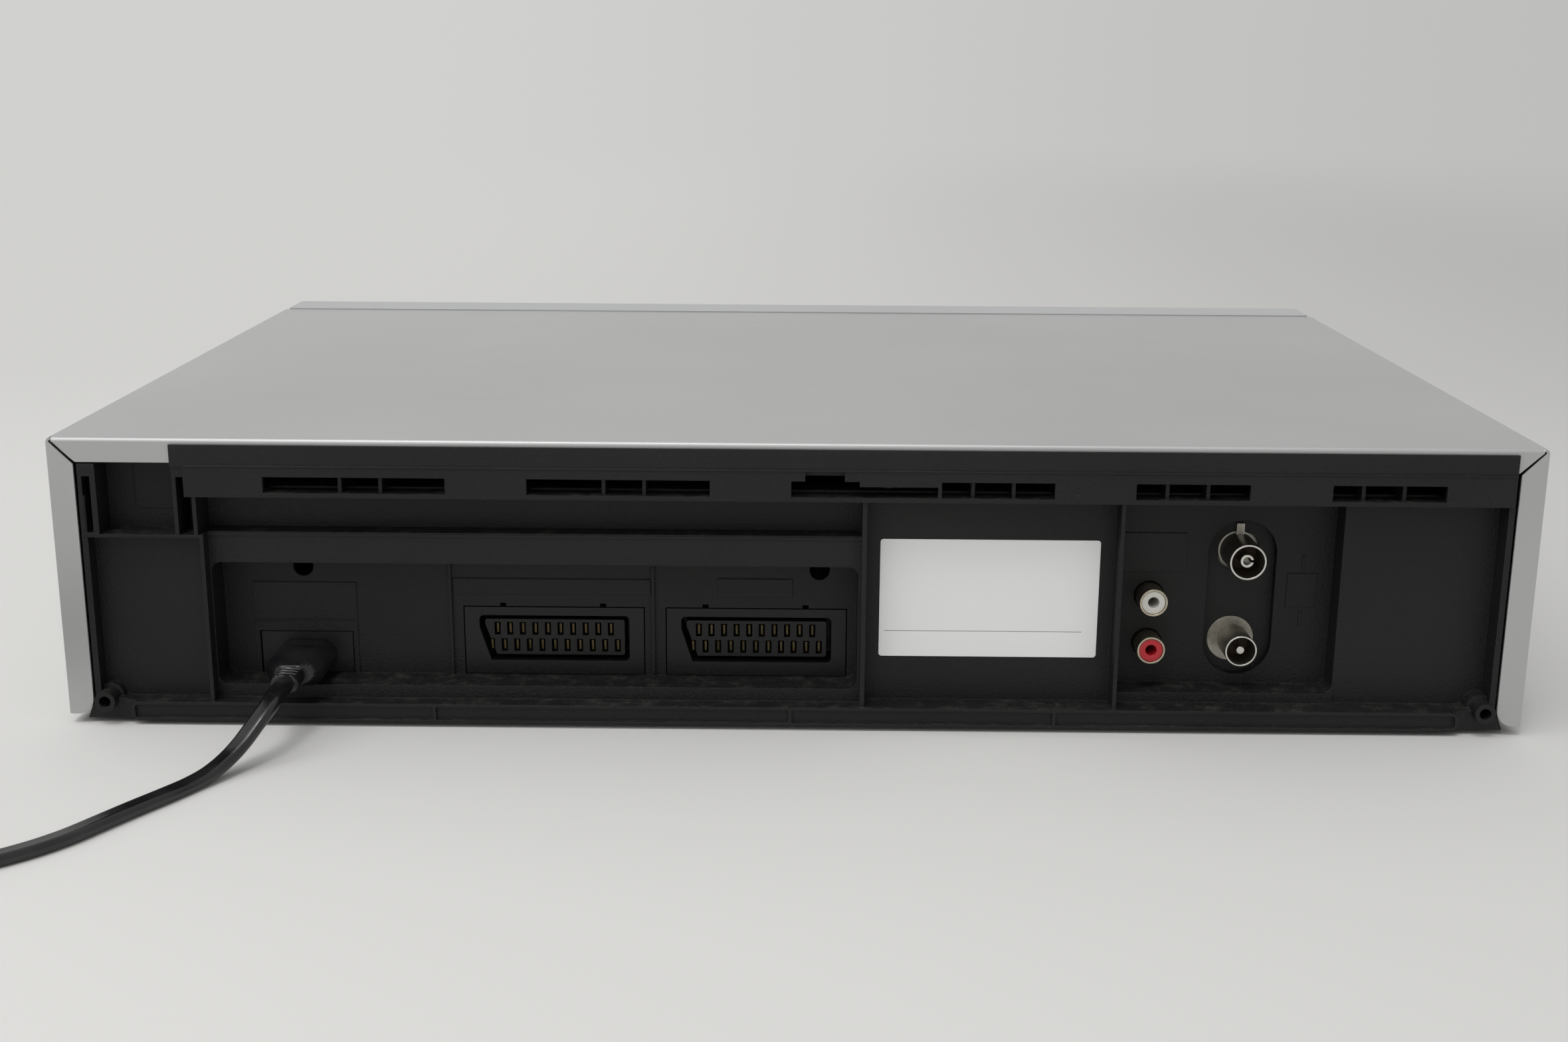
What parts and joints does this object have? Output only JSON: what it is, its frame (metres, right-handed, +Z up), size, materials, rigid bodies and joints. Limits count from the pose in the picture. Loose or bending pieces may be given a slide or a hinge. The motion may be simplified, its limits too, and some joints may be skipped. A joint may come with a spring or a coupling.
{
  "type": "video cassette recorder",
  "caption": "Box-shaped video cassette recorder: sheet cover over a moulded frame with a rear jack field, front panel with cassette flap and buttons, and a tape transport.",
  "frame": {"origin": "middle of the footprint, on the surface that the feet stand on; the lead is not counted", "axes": "+X across the machine, -Y towards the front panel, +Y towards the jack field, +Z up"},
  "size_m": [0.5368, 0.4139, 0.0875],
  "materials": {
    "frame_black": "fine moulded texture",
    "foot_rubber": "matt",
    "cover_paint": "satin silver-grey lacquer",
    "dark_screw": "blackened",
    "panel_silver": "silver, satin",
    "window_tint": "polished, tinted",
    "display_glass": "gloss",
    "board": "resin board",
    "jack_brass": "plated",
    "button_silver": "satin",
    "paper": "matt",
    "socket_black": "matt",
    "contact_gold": "plated",
    "nickel": "warm nickel plate",
    "ring_white": "satin",
    "ring_red": "satin",
    "tin": "tinned",
    "coil_tape": "polyester tape",
    "sleeve": "shrink sleeve",
    "sink_aluminium": "extruded",
    "zinc_steel": "zinc plated",
    "slide_resin": "acetal",
    "carriage_paint": "satin",
    "drum_aluminium": "turned",
    "reel_resin": "acetal",
    "wheel_rubber": "matt",
    "shaft_steel": "ground",
    "lead_black": "soft vinyl"
  },
  "bodies": {
    "machine": {"chassis_frame": "frame_black", "rear_wall": "frame_black", "rear_bosses": "frame_black", "foot_pads": "foot_rubber", "top_cover": "cover_paint", "cover_screws": "dark_screw", "front_panel": "panel_silver", "display_window": "window_tint", "display_module": "display_glass", "front_board": "board", "front_jacks": "jack_brass", "rating_plate": "paper", "ac_inlet": "socket_black", "av_sockets": "socket_black", "av_contacts": "contact_gold", "audio_socket_body": "socket_black", "audio_socket_shells": "nickel", "audio_ring_left": "ring_white", "audio_ring_right": "ring_red", "tuner_box": "tin", "aerial_in": "nickel", "aerial_out": "nickel", "main_board": "board", "inner_screws": "zinc_steel", "mains_transformer": "coil_tape", "main_capacitor": "sleeve", "heat_sink": "sink_aluminium", "transport_plate": "zinc_steel", "carriage_side_plates": "zinc_steel", "lower_drum": "drum_aluminium", "drive_belt": "wheel_rubber", "tape_heads": "shaft_steel", "lead_connector": "lead_black", "cord_lead": "lead_black", "cord_coil": "lead_black", "mains_plug": "lead_black"},
    "flap": {"cassette_flap": "panel_silver"},
    "door": {"jack_door": "panel_silver"},
    "power": {"power_button": "button_silver"},
    "eject": {"eject_button": "button_silver"},
    "rewind": {"rewind_button": "button_silver"},
    "play": {"play_button": "button_silver"},
    "forward": {"forward_button": "button_silver"},
    "stop": {"stop_button": "button_silver"},
    "record": {"record_button": "button_silver"},
    "channel_up": {"channel_up_button": "button_silver"},
    "channel_down": {"channel_down_button": "button_silver"},
    "sliders": {"carriage_sliders": "slide_resin"},
    "carriage": {"cassette_carriage": "carriage_paint"},
    "drum": {"upper_drum": "drum_aluminium"},
    "supply_reel": {"supply_reel_table": "reel_resin"},
    "takeup_reel": {"takeup_reel_table": "reel_resin"},
    "idler": {"idler_arm": "zinc_steel"},
    "idler_roller": {"idler_wheel": "wheel_rubber"},
    "capstan": {"capstan": "shaft_steel"},
    "pulley": {"centre_pulley": "slide_resin"},
    "pinch": {"pinch_arm": "zinc_steel"},
    "roller": {"pinch_roller": "wheel_rubber"},
    "supply_post": {"supply_guide_post": "slide_resin"},
    "takeup_post": {"takeup_guide_post": "slide_resin"}
  },
  "joints": [
    {"name": "flap_hinge", "type": "hinge", "parent": "machine", "child": "flap", "pos_m": [-0.04, -0.1389, 0.0825], "axis": [1, 0, 0], "range_deg": [0, 90], "stiffness_Nm_per_rad": 0.004, "springref_deg": -34.38},
    {"name": "door_hinge", "type": "hinge", "parent": "machine", "child": "door", "pos_m": [-0.164, -0.1403, 0.0131], "axis": [1, 0, 0], "range_deg": [0, 90]},
    {"name": "power_press", "type": "slide", "parent": "machine", "child": "power", "axis": [0, 1, 0], "range_m": [0, 0.0015], "stiffness_N_per_m": 300, "springref_m": -0.001},
    {"name": "eject_press", "type": "slide", "parent": "machine", "child": "eject", "axis": [0, 1, 0], "range_m": [0, 0.0015], "stiffness_N_per_m": 300, "springref_m": -0.001},
    {"name": "rewind_press", "type": "slide", "parent": "machine", "child": "rewind", "axis": [0, 1, 0], "range_m": [0, 0.0015], "stiffness_N_per_m": 300, "springref_m": -0.001},
    {"name": "play_press", "type": "slide", "parent": "machine", "child": "play", "axis": [0, 1, 0], "range_m": [0, 0.0015], "stiffness_N_per_m": 300, "springref_m": -0.001},
    {"name": "forward_press", "type": "slide", "parent": "machine", "child": "forward", "axis": [0, 1, 0], "range_m": [0, 0.0015], "stiffness_N_per_m": 300, "springref_m": -0.001},
    {"name": "stop_press", "type": "slide", "parent": "machine", "child": "stop", "axis": [0, 1, 0], "range_m": [0, 0.0015], "stiffness_N_per_m": 300, "springref_m": -0.001},
    {"name": "record_press", "type": "slide", "parent": "machine", "child": "record", "axis": [0, 1, 0], "range_m": [0, 0.0015], "stiffness_N_per_m": 300, "springref_m": -0.001},
    {"name": "channel_up_press", "type": "slide", "parent": "machine", "child": "channel_up", "axis": [0, 1, 0], "range_m": [0, 0.0015], "stiffness_N_per_m": 300, "springref_m": -0.001},
    {"name": "channel_down_press", "type": "slide", "parent": "machine", "child": "channel_down", "axis": [0, 1, 0], "range_m": [0, 0.0015], "stiffness_N_per_m": 300, "springref_m": -0.001},
    {"name": "carriage_in", "type": "slide", "parent": "machine", "child": "sliders", "axis": [0, 1, 0], "range_m": [0, 0.067]},
    {"name": "carriage_down", "type": "slide", "parent": "sliders", "child": "carriage", "axis": [0, 0, -1], "range_m": [0, 0.022]},
    {"name": "drum_spin", "type": "hinge", "parent": "machine", "child": "drum", "pos_m": [-0.04, 0.0365, 0.0285], "axis": [0.0958, 0, 0.9954], "continuous": true},
    {"name": "supply_reel_spin", "type": "hinge", "parent": "machine", "child": "supply_reel", "pos_m": [-0.0862, -0.0595, 0.0255], "axis": [0, 0, 1], "continuous": true},
    {"name": "takeup_reel_spin", "type": "hinge", "parent": "machine", "child": "takeup_reel", "pos_m": [0.0062, -0.0595, 0.0255], "axis": [0, 0, 1], "continuous": true},
    {"name": "idler_swing", "type": "hinge", "parent": "machine", "child": "idler", "pos_m": [-0.04, -0.0915, 0.0255], "axis": [0, 0, 1], "range_deg": [-28, 28]},
    {"name": "idler_wheel_spin", "type": "hinge", "parent": "idler", "child": "idler_roller", "pos_m": [-0.04, -0.0615, 0.0255], "axis": [0, 0, 1], "continuous": true},
    {"name": "capstan_spin", "type": "hinge", "parent": "machine", "child": "capstan", "pos_m": [0.014, 0.0225, 0.0255], "axis": [0, 0, 1], "continuous": true},
    {"name": "pulley_spin", "type": "hinge", "parent": "machine", "child": "pulley", "pos_m": [-0.04, -0.0915, 0.0255], "axis": [0, 0, 1], "continuous": true},
    {"name": "pinch_swing", "type": "hinge", "parent": "machine", "child": "pinch", "pos_m": [0.036, 0.0085, 0.0255], "axis": [0, 0, -1], "range_deg": [0, 27.5], "stiffness_Nm_per_rad": 0.02, "springref_deg": -11.46},
    {"name": "roller_spin", "type": "hinge", "parent": "pinch", "child": "roller", "pos_m": [0.01372, 0.00364, 0.0255], "axis": [0, 0, 1], "continuous": true},
    {"name": "supply_post_slide", "type": "slide", "parent": "machine", "child": "supply_post", "axis": [0, 1, 0], "range_m": [0, 0.067]},
    {"name": "takeup_post_slide", "type": "slide", "parent": "machine", "child": "takeup_post", "axis": [0, 1, 0], "range_m": [0, 0.067]}
  ],
  "couplings": [
    {"joint": "takeup_post_slide", "follows": "supply_post_slide", "ratio": 1},
    {"joint": "pulley_spin", "follows": "capstan_spin", "ratio": 0.55414}
  ]
}
